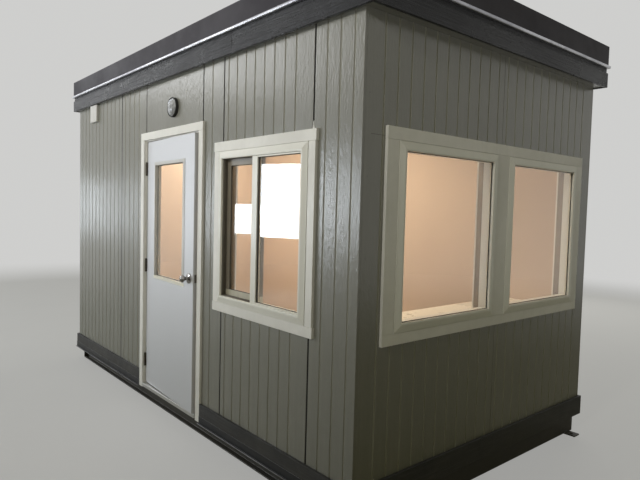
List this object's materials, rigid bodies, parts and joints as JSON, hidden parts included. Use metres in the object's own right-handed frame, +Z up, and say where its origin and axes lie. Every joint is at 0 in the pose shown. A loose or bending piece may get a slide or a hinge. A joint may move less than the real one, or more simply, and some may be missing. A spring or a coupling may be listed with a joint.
{
  "type": "security guard booth",
  "caption": "Portable guard booth with a hinged door, a sliding front window and a pair of fixed end windows, on a steel skid base.",
  "frame": {"origin": "on the ground under the middle of the booth, at the underside of the middle cross member", "axes": "+Z up; +X along the booth towards the end wall with two windows; the front wall with the door faces -Y"},
  "size_m": [4.465, 2.5975, 2.941],
  "materials": {
    "siding_grey": "mid-grey painted grooved wood panel siding",
    "dark_trim": "charcoal painted boards",
    "fascia_charcoal": "charcoal painted fascia board",
    "ivory_trim": "off-white painted casing boards",
    "door_paint": "pale grey-white painted door",
    "base_steel": "black painted steel",
    "vinyl_white": "off-white vinyl window profile",
    "bright_metal": "bright lockset",
    "hinge_bronze": "dark bronze hinge",
    "clear_glass": "clear glass",
    "lens_clear": "ribbed clear lens",
    "lamp_black": "black lamp ring",
    "box_white": "white cover box",
    "lining_beige": "warm beige wall lining",
    "ceiling_white": "white ceiling board",
    "floor_grey": "grey sheet flooring",
    "roof_white": "pale grey roof membrane",
    "raw_wood": "framing timber and roof boards",
    "sill_metal": "metal door sill",
    "counter_white": "white laminate counter"
  },
  "bodies": {
    "booth": {"skid_front": "base_steel", "skid_back": "base_steel", "base_end_channels": "base_steel", "base_cross_members": "base_steel", "anchor_tabs": "base_steel", "floor_deck": "floor_grey", "front_wall_left": "lining_beige", "front_wall_over_door": "lining_beige", "front_wall_right": "lining_beige", "back_wall": "lining_beige", "left_end_wall": "lining_beige", "right_end_wall": "lining_beige", "front_siding": "siding_grey", "right_end_siding": "siding_grey", "left_end_siding": "siding_grey", "back_siding": "siding_grey", "skirt_boards": "dark_trim", "skirt_flashing": "dark_trim", "ceiling": "ceiling_white", "roof_joists": "raw_wood", "roof_deck": "raw_wood", "roof_membrane": "roof_white", "soffit": "siding_grey", "lower_fascia_boards": "dark_trim", "fascia_bead": "dark_trim", "upper_fascia_boards": "fascia_charcoal", "door_jambs": "ivory_trim", "strike_plate": "bright_metal", "door_head": "ivory_trim", "door_stops": "ivory_trim", "door_threshold": "sill_metal", "door_casing": "ivory_trim", "hinge_jamb_leaves": "hinge_bronze", "front_window_casing": "ivory_trim", "front_window_frame": "vinyl_white", "front_window_sashes": "vinyl_white", "front_window_glass": "clear_glass", "end_window_casing": "ivory_trim", "end_window_frame_front": "vinyl_white", "end_window_frame_back": "vinyl_white", "inside_window_trim": "ivory_trim", "end_window_glass": "clear_glass", "wall_light_body": "lamp_black", "wall_light_lens": "lens_clear", "cover_box": "box_white", "counter_top": "counter_white", "counter_cleats": "raw_wood"},
    "door": {"door_leaf": "door_paint", "door_lite_frame": "door_paint", "door_lite_glass": "clear_glass", "door_lockset": "bright_metal", "hinge_door_leaves": "hinge_bronze"}
  },
  "joints": [
    {"name": "door_swing", "type": "hinge", "parent": "booth", "child": "door", "pos_m": [-0.4035, -1.2185, 1.1805], "axis": [0, 0, -1], "range_deg": [-3, 107]}
  ]
}
